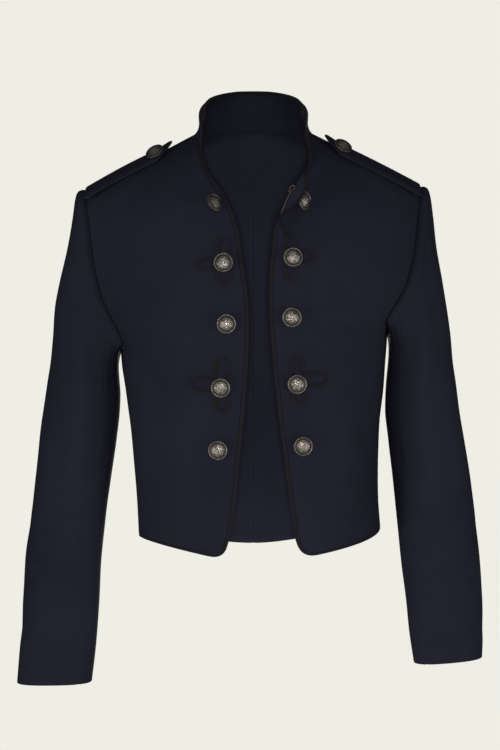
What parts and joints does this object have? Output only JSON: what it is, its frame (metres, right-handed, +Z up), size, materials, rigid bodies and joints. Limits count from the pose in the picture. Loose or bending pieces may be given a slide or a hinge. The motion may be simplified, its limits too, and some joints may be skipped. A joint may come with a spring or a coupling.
{
  "type": "cropped military jacket",
  "caption": "Cropped stand-collar military jacket worn open, hollow, with shoulder straps, domed buttons, looped cord trim and piped edges.",
  "frame": {"origin": "halfway between the two side neck points, at the height of the collar seam, where the shoulders carry the jacket", "axes": "+Z up the back of the wearer, -Y the way the wearer faces, +X to the wearer's left"},
  "size_m": [0.5526, 0.2234, 0.7148],
  "materials": {
    "cloth": "dark navy wool twill, matt with a slight nap",
    "trim": "black rounded piping and flat braid, slightly silky",
    "pewter": "antiqued pewter, worn bright on the high places"
  },
  "bodies": {
    "root": {"front_right": "cloth", "front_left": "cloth", "back_right": "cloth", "back_left": "cloth", "sleeve_top_right": "cloth", "sleeve_top_left": "cloth", "sleeve_under_right": "cloth", "sleeve_under_left": "cloth", "epaulette_right": "cloth", "epaulette_left": "cloth", "collar": "cloth", "edge_piping": "trim", "frog_right_2": "trim", "frog_right_4": "trim", "frog_left_2": "trim", "frog_left_4": "trim", "button_right_1": "pewter", "button_right_2": "pewter", "button_right_3": "pewter", "button_right_4": "pewter", "button_right_5": "pewter", "button_left_1": "pewter", "button_left_2": "pewter", "button_left_3": "pewter", "button_left_4": "pewter", "button_left_5": "pewter", "button_epaulette_right": "pewter", "button_epaulette_left": "pewter"}
  },
  "joints": []
}
